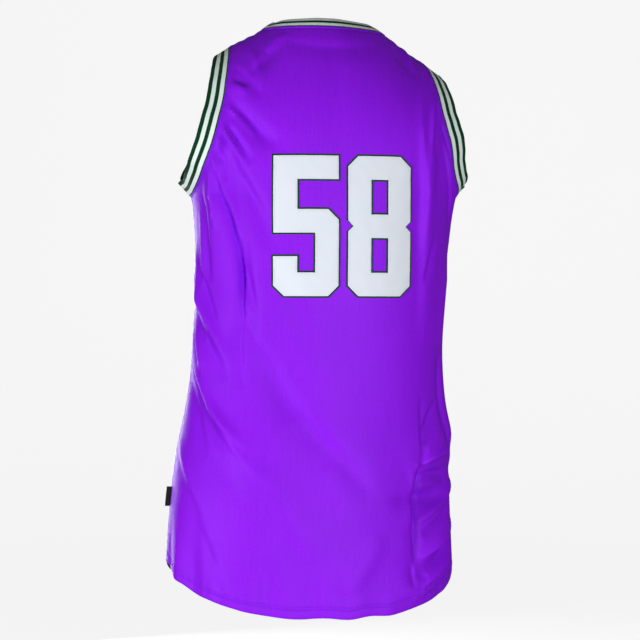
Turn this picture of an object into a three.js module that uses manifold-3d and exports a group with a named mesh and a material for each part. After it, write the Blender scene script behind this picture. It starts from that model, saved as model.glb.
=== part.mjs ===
// A basketball jersey in its worn shape: a sleeveless, scoop-necked top of thin polyester knit with striped
// ribs at the neck and armholes, and open at the neck, the armholes and the hem. Millimetres, +Z up. The
// front faces -Y and the jersey's own left is +X. The origin lies midway between the neck ends of the two
// shoulder seams, from which it hangs.

import * as THREE from 'three';
import { mergeVertices } from 'three/addons/utils/BufferGeometryUtils.js';
import Module from 'manifold-3d';

// Driving dimensions of the garment
const CLOTH = 1.5;
const HEM_DEPTH = 13;
const HEM_TURN = 1.1;
const SEAM_GAP = 0.3;
const GIRTH = 960;
const UNDERARM_Z = -218;
const NECK_HALF_WIDTH = 82;
const NECK_DROP = 165;

// The ribs stand a little proud of the panels at the seam. RIB_STEPS are shares of the width, and RIB_LEAN
// is how far each rib leans inwards at its seam and at its free edge, in radians, or outwards below zero, and
// how much more it leans in where the cloth faces up.
const RIB = 2;
const RIB_WIDTH = 25;
const RIB_PROUD = 0.25;
const RIB_STEPS = [0, 0.34, 0.67, 1];
const RIB_LEAN = {
  neck: { start: 0.02, end: 0.2, onTop: 0 },
  left: { start: -0.12, end: -0.25, onTop: 0.5 },
  right: { start: -0.14, end: -0.3, onTop: 0.6 },
};

// Sections of the worn body of the cloth, from the tail of the hem up to above the neck. centre is where
// the section's middle lies in X, half its half-width, and back and front its depths from the side seams.
const SECTIONS = [
  { z: -770, centre: 19, half: 185, back: 123, front: 114 },
  { z: -680, centre: 18, half: 185, back: 122, front: 114 },
  { z: -608, centre: 16, half: 182, back: 120, front: 114 },
  { z: -543, centre: 13, half: 177, back: 116, front: 115 },
  { z: -478, centre: 10, half: 168, back: 112, front: 116 },
  { z: -413, centre: 8, half: 163, back: 114, front: 119 },
  { z: -348, centre: 4, half: 163, back: 118, front: 123 },
  { z: -280, centre: 1, half: 166, back: 121, front: 126 },
  { z: -218, centre: -1, half: 172, back: 122, front: 125 },
  { z: -180, centre: 0, half: 187, back: 121, front: 124 },
  { z: -135, centre: 0, half: 200, back: 120, front: 122 },
  { z: -60, centre: 0, half: 208, back: 117, front: 119 },
  { z: 60, centre: 0, half: 212, back: 114, front: 116 },
];
const SECTION_SQUARENESS = 2.4;

// The line of the shoulders from right to left. Between the neck ends it only guides the cloth.
const SHOULDER_LINE = [
  { x: -215, z: -140 },
  { x: -165, z: -66 },
  { x: -139, z: -44 },
  { x: -110, z: -26 },
  { x: -82, z: -5 },
  { x: -48, z: 17 },
  { x: 0, z: 36 },
  { x: 48, z: 20 },
  { x: 82, z: -2 },
  { x: 110, z: -17 },
  { x: 140, z: -33 },
  { x: 165, z: -50 },
  { x: 215, z: -125 },
];

// The armhole seams from the underarm up to the shoulder line, where rise is the share of that height, and
// left and right their distances from the middle
const ARMHOLES = [
  { rise: 0, left: 171, right: 173 },
  { rise: 0.25, left: 154, right: 160 },
  { rise: 0.5, left: 141, right: 146 },
  { rise: 0.75, left: 130, right: 136 },
  { rise: 1, left: 121, right: 130 },
];

// The two body panels. reach is how far below the shoulder line the cloth gets its full depth, in the
// middle and at the armhole, and roll how slowly it turns down there. scoop draws the armhole further in.
// hem has its height in the middle and at the sides, and how late it rises towards the left and right.
const BACK = {
  name: 'back', side: 1, reach: 230, reachAtArm: 115, roll: 0.64, scoop: 0, neckDrop: 2,
  hem: { middle: -745, side: -683, left: 1.7, right: 2.5 },
  shoulderColumns: 8, neckColumns: 24, bodyRows: 24,
};
const FRONT = {
  name: 'front', side: -1, reach: 250, reachAtArm: 125, roll: 0.74, scoop: 14, neckDrop: NECK_DROP,
  hem: { middle: -736, side: -683, left: 2, right: 2 },
  shoulderColumns: 6, neckColumns: 22, bodyRows: 16,
};
const ARMHOLE_ROWS = 14;
const NECK_COLUMN = 0.62;

// The largest folds. from and to are its ends, each a distance round the body from the middle of the back,
// towards the left, and a height. bow bends it sideways at its middle, width is half its breadth, and height
// is how far it stands out, or in below zero.
const FOLDS = [
  { name: 'left armhole drag', from: [154, -82], to: [58, -180], bow: 4, width: 15, height: -5 },
  { name: 'left back hang', from: [148, -126], to: [114, -415], bow: 9, width: 15, height: -5 },
  { name: 'left chest roll', from: [180, -150], to: [164, -335], bow: 0, width: 16, height: 4 },
  { name: 'left waist roll', from: [250, -285], to: [146, -438], bow: 6, width: 16, height: 5 },
  { name: 'left hip roll', from: [250, -362], to: [106, -540], bow: 8, width: 17, height: 5 },
  { name: 'left hip drag', from: [248, -420], to: [84, -612], bow: 8, width: 17, height: -5 },
  { name: 'middle drag', from: [116, -346], to: [-36, -596], bow: 10, width: 28, height: -6 },
  { name: 'middle roll', from: [66, -400], to: [-44, -650], bow: 10, width: 28, height: 4 },
  { name: 'right armhole tuck', from: [-152, -66], to: [-122, -232], bow: 6, width: 14, height: -5 },
  { name: 'right back roll', from: [-116, -44], to: [-136, -420], bow: -8, width: 15, height: 5 },
  { name: 'right underarm hollow', from: [-160, -120], to: [-224, -320], bow: 6, width: 17, height: -9 },
  { name: 'right hip roll', from: [-244, -500], to: [-92, -568], bow: 0, width: 19, height: 6 },
  { name: 'right hip hollow', from: [-244, -552], to: [-96, -604], bow: 6, width: 18, height: -7 },
  { name: 'right hip crease', from: [-118, -532], to: [-106, -700], bow: 0, width: 14, height: -4 },
  { name: 'right hip swag', from: [-214, -540], to: [-104, -678], bow: 18, width: 16, height: 6 },
  { name: 'right swag hollow', from: [-222, -590], to: [-92, -706], bow: 20, width: 16, height: -5 },
  { name: 'right hem swag', from: [-206, -622], to: [-58, -728], bow: 20, width: 16, height: 5 },
  { name: 'hem flute left', from: [166, -590], to: [150, -820], bow: 0, width: 19, height: -5 },
  { name: 'hem flute middle', from: [26, -640], to: [18, -830], bow: 0, width: 24, height: -4 },
  { name: 'left seam drag', from: [262, -240], to: [274, -540], bow: -6, width: 18, height: -5 },
  { name: 'right seam drag', from: [-262, -235], to: [-276, -480], bow: 6, width: 18, height: -5 },
  { name: 'right front swag', from: [-232, -560], to: [-338, -668], bow: -18, width: 17, height: 6 },
  { name: 'front left armhole drag', from: [326, -96], to: [412, -204], bow: -4, width: 16, height: -5 },
  { name: 'front right armhole drag', from: [-330, -92], to: [-404, -200], bow: 4, width: 16, height: -5 },
  { name: 'front left hang', from: [352, -180], to: [368, -500], bow: 6, width: 18, height: -5 },
  { name: 'front left roll', from: [310, -200], to: [326, -590], bow: 6, width: 19, height: 5 },
  { name: 'front right hang', from: [-348, -170], to: [-366, -470], bow: -8, width: 18, height: -5 },
  { name: 'front right roll', from: [-306, -200], to: [-328, -580], bow: -6, width: 19, height: 5 },
  { name: 'front middle drag', from: [392, -356], to: [504, -620], bow: -12, width: 28, height: -6 },
  { name: 'front middle roll', from: [436, -420], to: [530, -670], bow: -12, width: 28, height: 4 },
  { name: 'front left flute', from: [384, -590], to: [386, -830], bow: 0, width: 22, height: 5 },
  { name: 'front right flute', from: [-412, -570], to: [-408, -830], bow: 0, width: 22, height: -5 },
];

// The sewn-on number: two block digits of twill, each on an edging cut a little larger
const DIGIT = { width: 80, height: 173, stroke: 29, corner: 13, space: 12, middleX: -6, middleZ: -260 };
const EDGING = 2.2;
const TWILL = 1;

// The small folded label caught in the left side seam
const LABEL = { z: -602, height: 25, out: 6, thickness: 1.4 };

const COLOURS = { purple: 0x7a18e0, white: 0xf2f4f8, green: 0x0f4a2c, black: 0x17171a };

// A smooth value of key between the rows of a table, where by is its rising column. Each stretch is a
// cubic whose slope at a row is the slope from the row before to the row after.
function between(rows, by, key, at) {
  const slope = (i, j) => (rows[j][key] - rows[i][key]) / (rows[j][by] - rows[i][by]);
  const last = rows.length - 1;
  let i = 0;
  while (i < last - 1 && at > rows[i + 1][by]) i += 1;
  const span = rows[i + 1][by] - rows[i][by];
  const t = THREE.MathUtils.clamp((at - rows[i][by]) / span, 0, 1);
  const start = slope(Math.max(i - 1, 0), i + 1);
  const end = slope(i, Math.min(i + 2, last));
  return (
    rows[i][key] * (1 + 2 * t) * (1 - t) ** 2 + rows[i + 1][key] * t * t * (3 - 2 * t) +
    span * (start * t * (1 - t) ** 2 - end * t * t * (1 - t))
  );
}

const shoulderZ = (x) => between(SHOULDER_LINE, 'x', 'z', x);
const sectionAt = (z, key) => between(SECTIONS, 'z', key, z);
const quarterTurn = (share) => Math.sin((Math.PI / 2) * share);

// How far the cloth lies behind or in front of the side seams at x and z: the section's depth there, as a
// squared-off ellipse, which rolls over to nothing at the shoulder line.
function clothDepth(panel, x, z) {
  const across = Math.min(Math.abs(x - sectionAt(z, 'centre')) / sectionAt(z, 'half'), 1);
  const full = sectionAt(z, panel.name) * (1 - across ** SECTION_SQUARENESS) ** (1 / SECTION_SQUARENESS);
  const towardsArm = Math.min(Math.abs(x) / sectionAt(60, 'half'), 1);
  const reach = THREE.MathUtils.lerp(panel.reach, panel.reachAtArm, towardsArm);
  const below = THREE.MathUtils.clamp((shoulderZ(x) - z) / reach, 0, 1);
  return full * quarterTurn(below ** panel.roll);
}

// The distance round the body from the middle of the back, positive towards the left. Above the underarm it
// is taken straight up from there.
function aroundBody(panel, x, z) {
  const level = Math.min(z, UNDERARM_Z);
  const share = THREE.MathUtils.clamp((x - sectionAt(level, 'centre')) / sectionAt(level, 'half'), -1, 1);
  const turn = Math.asin(share) / Math.PI;
  const round = panel.side > 0 ? turn : Math.sign(share || 1) - turn;
  return (GIRTH / 2) * round;
}

// How far the folds lift the cloth at a place: each is a soft ridge or trough that fades at both ends
function foldLift(around, z) {
  let lift = 0;
  for (const fold of FOLDS) {
    const start = new THREE.Vector2(...fold.from);
    const run = new THREE.Vector2(...fold.to).sub(start);
    const length = run.length();
    run.divideScalar(length);
    for (const wrapped of [around, around - GIRTH, around + GIRTH]) {
      const place = new THREE.Vector2(wrapped, z).sub(start);
      const along = place.dot(run) / length;
      if (along <= 0 || along >= 1) continue;
      const bend = fold.bow * 4 * along * (1 - along);
      const across = (place.cross(run) - bend) / fold.width;
      lift += fold.height * Math.exp(-across * across) * Math.sin(Math.PI * along);
    }
  }
  return lift;
}

// The height of the neck seam at x, where share is how far that is from the middle to the shoulder seam. It
// leaves the shoulder seam level and rounds out below.
function neckSeamZ(panel, x, share) {
  const end = NECK_HALF_WIDTH;
  const level = THREE.MathUtils.mapLinear(x, -end, end, shoulderZ(-end), shoulderZ(end));
  const inwards = Math.cos((Math.PI / 2) * share);
  return level - panel.neckDrop * inwards ** 1.6 * (2.2 - 1.2 * inwards);
}

// A place on the smooth body of the cloth. column runs from -1 at the right side seam to 1 at the left, and
// row from 0 at the hem to 1 at the underarm and 2 at the shoulder and neck seams.
function smoothPoint(panel, column, row) {
  const share = Math.abs(column);
  const hand = column < 0 ? 'right' : 'left';
  const sign = column < 0 ? -1 : 1;
  let x;
  let z;
  if (row <= 1) {
    const { middle, side } = panel.hem;
    const hemZ = middle + (side - middle) * share ** panel.hem[hand];
    z = THREE.MathUtils.lerp(hemZ, UNDERARM_Z, row);
    x = sectionAt(z, 'centre') + sectionAt(z, 'half') * quarterTurn(column);
  } else {
    const climb = row - 1;
    const rise = THREE.MathUtils.lerp(climb, (1 - Math.cos(Math.PI * climb)) / 2, share * share);
    const inNeck = share < NECK_COLUMN;
    const shoulder = ARMHOLES[ARMHOLES.length - 1][hand];
    const topX = inNeck
      ? NECK_HALF_WIDTH * quarterTurn(share / NECK_COLUMN)
      : THREE.MathUtils.mapLinear(share, NECK_COLUMN, 1, NECK_HALF_WIDTH, shoulder);
    const topZ = inNeck ? neckSeamZ(panel, sign * topX, share / NECK_COLUMN) : shoulderZ(sign * topX);
    const centre = sectionAt(UNDERARM_Z, 'centre') * (1 - rise);
    const seam = between(ARMHOLES, 'rise', hand, rise) - panel.scoop * Math.sin(Math.PI * rise);
    const shape = THREE.MathUtils.lerp(quarterTurn(share), topX / shoulder, rise);
    x = centre + sign * (seam - sign * centre) * shape;
    z = THREE.MathUtils.lerp(UNDERARM_Z, topZ, rise);
  }
  const y = panel.side * (SEAM_GAP / 2 + clothDepth(panel, x, z));
  return new THREE.Vector3(x, y, z);
}

// The outward direction there. At the side and shoulder seams it lies in the plane of the seam.
function outward(panel, column, row) {
  const step = 0.004;
  const [c0, c1] = [Math.max(column - step, -1), Math.min(column + step, 1)];
  const [r0, r1] = [Math.max(row - step, 0), Math.min(row + step, 2)];
  const across = smoothPoint(panel, c1, row).sub(smoothPoint(panel, c0, row));
  const up = smoothPoint(panel, column, r1).sub(smoothPoint(panel, column, r0));
  const normal = up.cross(across).multiplyScalar(panel.side);
  const onSideSeam = Math.abs(column) === 1 && row <= 1;
  const onShoulderSeam = row === 2 && Math.abs(column) >= NECK_COLUMN;
  if (onSideSeam || onShoulderSeam) normal.y = 0;
  return normal.normalize();
}

// Every column and row of a panel. The neck starts and ends on a column, at NECK_COLUMN.
function panelColumns({ shoulderColumns, neckColumns }) {
  const stretch = (count, from, to) =>
    Array.from({ length: count }, (_, i) => THREE.MathUtils.mapLinear(i, 0, count, from, to));
  return [
    ...stretch(shoulderColumns, -1, -NECK_COLUMN),
    ...stretch(neckColumns, -NECK_COLUMN, NECK_COLUMN),
    ...stretch(shoulderColumns, NECK_COLUMN, 1), 1,
  ];
}

function panelRows(panel) {
  const hemRow = HEM_DEPTH / (UNDERARM_Z - panel.hem.middle);
  const rows = [0, hemRow];
  for (let i = 1; i <= panel.bodyRows; i += 1) rows.push(hemRow + ((1 - hemRow) * i) / panel.bodyRows);
  for (let i = 1; i <= ARMHOLE_ROWS; i += 1) rows.push(1 + i / ARMHOLE_ROWS);
  return rows;
}

// The outer face of a panel as rows of points, each with its outward direction and its wall thickness
function panelGrid(panel) {
  const columns = panelColumns(panel);
  return panelRows(panel).map((row, rowNumber) =>
    columns.map((column) => {
      const point = smoothPoint(panel, column, row);
      const normal = outward(panel, column, row);
      point.addScaledVector(normal, foldLift(aroundBody(panel, point.x, point.z), point.z));
      return { point, normal, thickness: rowNumber < 2 ? CLOTH + HEM_TURN : CLOTH };
    }),
  );
}

// A closed wall between two faces given as rows of points. Where ring is true each row closes on itself.
function wallGeometry(outer, inner, ring = false) {
  const rows = outer.length;
  const columns = outer[0].length;
  const positions = [...outer.flat(), ...inner.flat()].flatMap((p) => [p.x, p.y, p.z]);
  const at = (face, row, column) => face * rows * columns + row * columns + (column % columns);
  const triangles = [];
  const quad = (a, b, c, d) => triangles.push(a, b, c, a, c, d);
  const spans = ring ? columns : columns - 1;
  for (let j = 0; j < spans; j += 1) {
    for (let i = 0; i < rows - 1; i += 1) {
      quad(at(0, i, j), at(0, i, j + 1), at(0, i + 1, j + 1), at(0, i + 1, j));
      quad(at(1, i, j), at(1, i + 1, j), at(1, i + 1, j + 1), at(1, i, j + 1));
    }
    quad(at(0, 0, j), at(1, 0, j), at(1, 0, j + 1), at(0, 0, j + 1));
    quad(at(0, rows - 1, j), at(0, rows - 1, j + 1), at(1, rows - 1, j + 1), at(1, rows - 1, j));
  }
  for (let i = 0; i < rows - 1 && !ring; i += 1) {
    quad(at(0, i, 0), at(0, i + 1, 0), at(1, i + 1, 0), at(1, i, 0));
    quad(at(0, i, columns - 1), at(1, i, columns - 1), at(1, i + 1, columns - 1), at(0, i + 1, columns - 1));
  }
  const geometry = new THREE.BufferGeometry();
  geometry.setAttribute('position', new THREE.Float32BufferAttribute(positions, 3));
  geometry.setIndex(triangles);
  return geometry;
}

// A face's rows moved outwards by a distance, or inwards below zero
const movedOut = (grid, distance) =>
  grid.map((row) => row.map(({ point, normal }) => point.clone().addScaledVector(normal, distance)));

// The rows of a grid in the order that turns a wall's faces outwards on that side of the body
const facingOut = (panel, rows) => (panel.side > 0 ? rows.map((row) => [...row].reverse()) : rows);

function panelWall(panel, grid) {
  const inner = grid.map((row) =>
    row.map(({ point, normal, thickness }) => point.clone().addScaledVector(normal, -thickness)),
  );
  return wallGeometry(facingOut(panel, movedOut(grid, 0)), facingOut(panel, inner));
}

// A rib sewn round an opening. Its seam edge follows the loop of panel edge points just outside them, and
// its lean changes with each step towards its free edge.
function ribWall(loop, openingCentre, { start, end, onTop }) {
  const count = loop.length;
  const frames = loop.map(({ point, normal }, i) => {
    const along = loop[(i + 1) % count].point.clone().sub(loop[(i + count - 1) % count].point);
    const away = along.cross(normal).normalize();
    if (away.dot(openingCentre.clone().sub(point)) < 0) away.negate();
    return { point, normal, away };
  });
  const outer = [];
  const inner = [];
  for (const step of RIB_STEPS) {
    const rim = frames.map(({ point, normal, away }) => {
      const more = onTop * Math.max(normal.z, 0) ** 2;
      const lean = THREE.MathUtils.lerp(start, end, step) + more;
      const turned = step === 0 ? 0 : lean;
      const out = point.clone().addScaledVector(normal, RIB_PROUD);
      out.addScaledVector(away, SEAM_GAP + RIB_WIDTH * step * Math.cos(lean));
      out.addScaledVector(normal, -RIB_WIDTH * step * Math.sin((lean + more) / 2 + start));
      const through = normal.clone().multiplyScalar(Math.cos(turned)).addScaledVector(away, Math.sin(turned));
      return { out, through };
    });
    outer.push(rim.map(({ out }) => out));
    inner.push(rim.map(({ out, through }) => out.clone().addScaledVector(through, -RIB)));
  }
  return wallGeometry(outer, inner, true);
}

// The edge of a panel's grid round its armhole on one hand, from the underarm up to the shoulder
const armholeEdge = (grid, hand) =>
  grid.slice(-ARMHOLE_ROWS - 1).map((row) => (hand === 'left' ? row[row.length - 1] : row[0]));

const neckEdge = (panel, grid) =>
  grid[grid.length - 1].slice(panel.shoulderColumns, panel.shoulderColumns + panel.neckColumns + 1);

// The loop of seam points round an opening, from a front and a back edge that run the same way. Where they
// meet, at a seam between the panels, it passes midway.
function openingLoop(front, back) {
  const middle = (a, b) => ({
    point: a.point.clone().lerp(b.point, 0.5),
    normal: a.normal.clone().add(b.normal).normalize(),
  });
  const last = front.length - 1;
  return [
    middle(front[0], back[0]), ...front.slice(1, -1),
    middle(front[last], back[back.length - 1]), ...back.slice(1, -1).reverse(),
  ];
}

// The outlines of the block digits, from the lower left corner as they are read
function digitFive({ width: w, height: h, stroke: t, corner: c }) {
  const top = h / 2 + t / 2 + 6;
  const below = top - t;
  const tip = t + 20;
  const outline = [
    [0, h], [w, h], [w, h - t], [t, h - t], [t, top], [w - c, top], [w, top - c], [w, c], [w - c, 0],
    [c, 0], [0, c], [0, tip], [t, tip], [t, t], [w - t, t], [w - t, below], [0, below],
  ];
  return { outline, holes: [] };
}

function digitEight({ width: w, height: h, stroke: t, corner: c }) {
  const m = h / 2;
  const n = c / 2;
  const outline = [
    [c, 0], [w - c, 0], [w, c], [w, m - n], [w - n, m], [w, m + n], [w, h - c], [w - c, h],
    [c, h], [0, h - c], [0, m + n], [n, m], [0, m - n], [0, c],
  ];
  const hole = (low, high) => [[t, low], [t, high], [w - t, high], [w - t, low]];
  return { outline, holes: [hole(t, m - t / 2), hole(m + t / 2, h - t)] };
}

// The digit's sizes with every edge moved out by a distance
function grown(sizes, distance) {
  const cornerGrowth = 2 - Math.SQRT2;
  return {
    width: sizes.width + 2 * distance,
    height: sizes.height + 2 * distance,
    stroke: sizes.stroke + 2 * distance,
    corner: sizes.corner + cornerGrowth * distance,
  };
}

// A prism of the digit that runs through the back of the cloth. It is read from behind, so its width runs
// towards -X from leftX.
function digitPrism({ outline, holes }, leftX, lowZ) {
  const vectors = (points) => points.map(([u, v]) => new THREE.Vector2(leftX - u, lowZ + v));
  const shape = new THREE.Shape(vectors(outline));
  shape.holes = holes.map((hole) => new THREE.Path(vectors(hole)));
  const depth = 200;
  const prism = new THREE.ExtrudeGeometry(shape, { depth, bevelEnabled: false });
  return prism.applyMatrix4(new THREE.Matrix4().set(1, 0, 0, 0, 0, 0, -1, depth, 0, 1, 0, 0, 0, 0, 0, 1));
}

const wasm = await Module();
wasm.setup();

function toSolid(geometry) {
  const bare = geometry.clone();
  bare.deleteAttribute('normal');
  bare.deleteAttribute('uv');
  const merged = mergeVertices(bare, 1e-4);
  const mesh = new wasm.Mesh({
    numProp: 3,
    vertProperties: new Float32Array(merged.attributes.position.array),
    triVerts: new Uint32Array(merged.index.array),
  });
  return new wasm.Manifold(mesh);
}

function toGeometry(solid) {
  const { vertProperties, triVerts } = solid.getMesh();
  const geometry = new THREE.BufferGeometry();
  geometry.setAttribute('position', new THREE.BufferAttribute(new Float32Array(vertProperties), 3));
  geometry.setIndex([...triVerts]);
  return geometry;
}

// The part of the back panel's grid under a digit, with a cell to spare all round
function gridUnder(grid, lowX, highX, lowZ, highZ) {
  const middle = Math.floor(grid[0].length / 2);
  const firstRow = grid.findLastIndex((row) => row[middle].point.z < lowZ) - 1;
  const lastRow = grid.findIndex((row) => row[middle].point.z > highZ) + 1;
  const rows = grid.slice(firstRow, lastRow + 1);
  const beyond = (x) => Math.max(...rows.map((row) => row.findLastIndex(({ point }) => point.x < x)));
  const before = (x) => Math.min(...rows.map((row) => row.findLastIndex(({ point }) => point.x < x)));
  return rows.map((row) => row.slice(before(lowX) - 1, beyond(highX) + 3));
}

// A layer of twill on the back, cut from the panel's own points moved out
function twillLayer(grid, digit, sizes, leftX, lowZ, inside) {
  const patch = gridUnder(grid, leftX - sizes.width, leftX, lowZ, lowZ + sizes.height);
  const slab = wallGeometry(
    facingOut(BACK, movedOut(patch, inside + TWILL)), facingOut(BACK, movedOut(patch, inside)),
  );
  return toGeometry(toSolid(slab).intersect(toSolid(digitPrism(digit(sizes), leftX, lowZ))));
}

// The label is a strip folded on itself, whose sewn end follows the side seam just outside the cloth
function labelGeometry(backGrid) {
  const seam = backGrid.map((row) => row[row.length - 1]);
  const near = seam.filter(({ point }) => Math.abs(point.z - LABEL.z) < LABEL.height * 2);
  const seamX = (z) => {
    const above = near.findIndex(({ point }) => point.z > z);
    const [a, b] = [near[above - 1].point, near[above].point];
    return THREE.MathUtils.mapLinear(z, a.z, b.z, a.x, b.x);
  };
  const lean = 0.45;
  const rows = [0, 1].map((end) => {
    const z = LABEL.z + (end - 0.5) * LABEL.height;
    return [0, 1].map((out) => {
      const x = seamX(z) + SEAM_GAP + 0.5 + LABEL.out * out;
      return new THREE.Vector3(x, -LABEL.out * out * lean, z);
    });
  });
  const half = LABEL.thickness / 2;
  const faceAt = (y) => rows.map((row) => row.map((p) => p.clone().add(new THREE.Vector3(0, y, 0))));
  return wallGeometry(faceAt(-half), faceAt(half));
}

// Assembly
const jersey = new THREE.Group();

function addPiece(name, geometry, colour, roughness) {
  const material = new THREE.MeshStandardMaterial({ color: colour, roughness, metalness: 0 });
  const mesh = new THREE.Mesh(geometry, material);
  mesh.name = name;
  jersey.add(mesh);
}

const backGrid = panelGrid(BACK);
const frontGrid = panelGrid(FRONT);
addPiece('back_panel', panelWall(BACK, backGrid), COLOURS.purple, 0.55);
addPiece('front_panel', panelWall(FRONT, frontGrid), COLOURS.purple, 0.55);

for (const hand of ['left', 'right']) {
  const loop = openingLoop(armholeEdge(frontGrid, hand), armholeEdge(backGrid, hand)).reverse();
  const box = new THREE.Box3().setFromPoints(loop.map(({ point }) => point));
  const centre = box.getCenter(new THREE.Vector3());
  const rib = ribWall(hand === 'left' ? loop : loop.reverse(), centre, RIB_LEAN[hand]);
  addPiece(`armhole_rib_${hand}`, rib, COLOURS.white, 0.8);
}

const neckLoop = openingLoop(neckEdge(FRONT, frontGrid), neckEdge(BACK, backGrid));
addPiece('neck_rib', ribWall(neckLoop, new THREE.Vector3(0, -20, 0), RIB_LEAN.neck), COLOURS.white, 0.8);

const lowZ = DIGIT.middleZ - DIGIT.height / 2;
const pairWidth = 2 * DIGIT.width + DIGIT.space;
[digitFive, digitEight].forEach((digit, place) => {
  const name = ['number_first', 'number_second'][place];
  const leftX = DIGIT.middleX + pairWidth / 2 - place * (DIGIT.width + DIGIT.space);
  const wide = grown(DIGIT, EDGING);
  const under = twillLayer(backGrid, digit, wide, leftX + EDGING, lowZ - EDGING, SEAM_GAP);
  addPiece(`${name}_edging`, under, COLOURS.green, 0.7);
  const over = twillLayer(backGrid, digit, DIGIT, leftX, lowZ, SEAM_GAP * 2 + TWILL);
  addPiece(`${name}_digit`, over, COLOURS.white, 0.7);
});

addPiece('side_label', labelGeometry(backGrid), COLOURS.black, 0.6);

export default jersey;
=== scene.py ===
import bpy
import numpy as np
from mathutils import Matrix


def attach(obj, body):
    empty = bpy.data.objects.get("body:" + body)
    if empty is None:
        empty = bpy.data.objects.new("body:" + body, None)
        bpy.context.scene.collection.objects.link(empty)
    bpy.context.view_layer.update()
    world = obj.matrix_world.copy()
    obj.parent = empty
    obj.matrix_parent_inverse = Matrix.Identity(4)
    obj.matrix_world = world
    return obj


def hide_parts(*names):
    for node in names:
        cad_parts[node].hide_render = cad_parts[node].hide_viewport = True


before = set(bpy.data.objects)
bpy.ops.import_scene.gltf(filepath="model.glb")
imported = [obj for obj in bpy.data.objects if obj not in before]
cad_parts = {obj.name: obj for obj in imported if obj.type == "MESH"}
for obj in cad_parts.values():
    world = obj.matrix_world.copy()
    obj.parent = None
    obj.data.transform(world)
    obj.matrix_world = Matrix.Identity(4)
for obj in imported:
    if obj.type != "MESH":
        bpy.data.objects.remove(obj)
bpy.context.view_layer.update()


# The back panel. One piece of thin purple polyester knit, cut whole from the shoulder seams to the hem. It
# hangs from the shoulders in its worn shape, and its creases run from the armholes and round the hips.

# Sections of the worn body in millimetres: height, middle, half width, depth behind and depth in front
SECTIONS = np.array([
    (-770, 19, 185, 123, 114), (-680, 18, 185, 122, 114), (-608, 16, 182, 120, 114),
    (-543, 13, 177, 116, 115), (-478, 10, 168, 112, 116), (-413, 8, 163, 114, 119),
    (-348, 4, 163, 118, 123), (-280, 1, 166, 121, 126), (-218, -1, 172, 122, 125),
    (-180, 0, 187, 121, 124), (-135, 0, 200, 120, 122), (-60, 0, 208, 117, 119),
    (60, 0, 212, 114, 116),
], float)
UNDERARM = -218

# The power of the sections' ellipse, the largest half width, and the distance round the body, taken as even
SQUARENESS = 2.4
WIDEST = 212
GIRTH = 960

# The line of the shoulders: distance towards the left, height
SHOULDER_LINE = np.array([
    (-215, -140), (-165, -66), (-139, -44), (-110, -26), (-82, -5), (-48, 17), (0, 36), (48, 20), (82, -2),
    (110, -17), (140, -33), (165, -50), (215, -125),
], float)
NECK_HALF_WIDTH = 82
NECK_COLUMN = 0.62

# The armhole seams: share of the height from underarm to shoulder, and distance out on the left and right
ARMHOLES = np.array([
    (0, 171, 173), (0.25, 154, 160), (0.5, 141, 146), (0.75, 130, 136), (1, 121, 130),
], float)

# Folds and creases. Each starts and ends at a distance round the body from the middle of the back, towards
# the left, and a height. Then come how far it bends aside, half its breadth, and how far it stands out.
LARGE_FOLDS = [
    (154, -82, 58, -180, 4, 15, -5), (148, -126, 114, -415, 9, 15, -5), (180, -150, 164, -335, 0, 16, 4),
    (250, -285, 146, -438, 6, 16, 5), (250, -362, 106, -540, 8, 17, 5), (248, -420, 84, -612, 8, 17, -5),
    (116, -346, -36, -596, 10, 28, -6), (66, -400, -44, -650, 10, 28, 4),
    (-152, -66, -122, -232, 6, 14, -5), (-116, -44, -136, -420, -8, 15, 5),
    (-160, -120, -224, -320, 6, 17, -9), (-244, -500, -92, -568, 0, 19, 6),
    (-244, -552, -96, -604, 6, 18, -7), (-118, -532, -106, -700, 0, 14, -4),
    (-214, -540, -104, -678, 18, 16, 6), (-222, -590, -92, -706, 20, 16, -5),
    (-206, -622, -58, -728, 20, 16, 5), (166, -590, 150, -820, 0, 19, -5),
    (26, -640, 18, -830, 0, 24, -4), (262, -240, 274, -540, -6, 18, -5),
    (-262, -235, -276, -480, 6, 18, -5), (-232, -560, -338, -668, -18, 17, 6),
    (326, -96, 412, -204, -4, 16, -5), (-330, -92, -404, -200, 4, 16, -5),
    (352, -180, 368, -500, 6, 18, -5), (310, -200, 326, -590, 6, 19, 5),
    (-348, -170, -366, -470, -8, 18, -5), (-306, -200, -328, -580, -6, 19, 5),
    (392, -356, 504, -620, -12, 28, -6), (436, -420, 530, -670, -12, 28, 4),
    (384, -590, 386, -830, 0, 22, 5), (-412, -570, -408, -830, 0, 22, -5),
]
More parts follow.
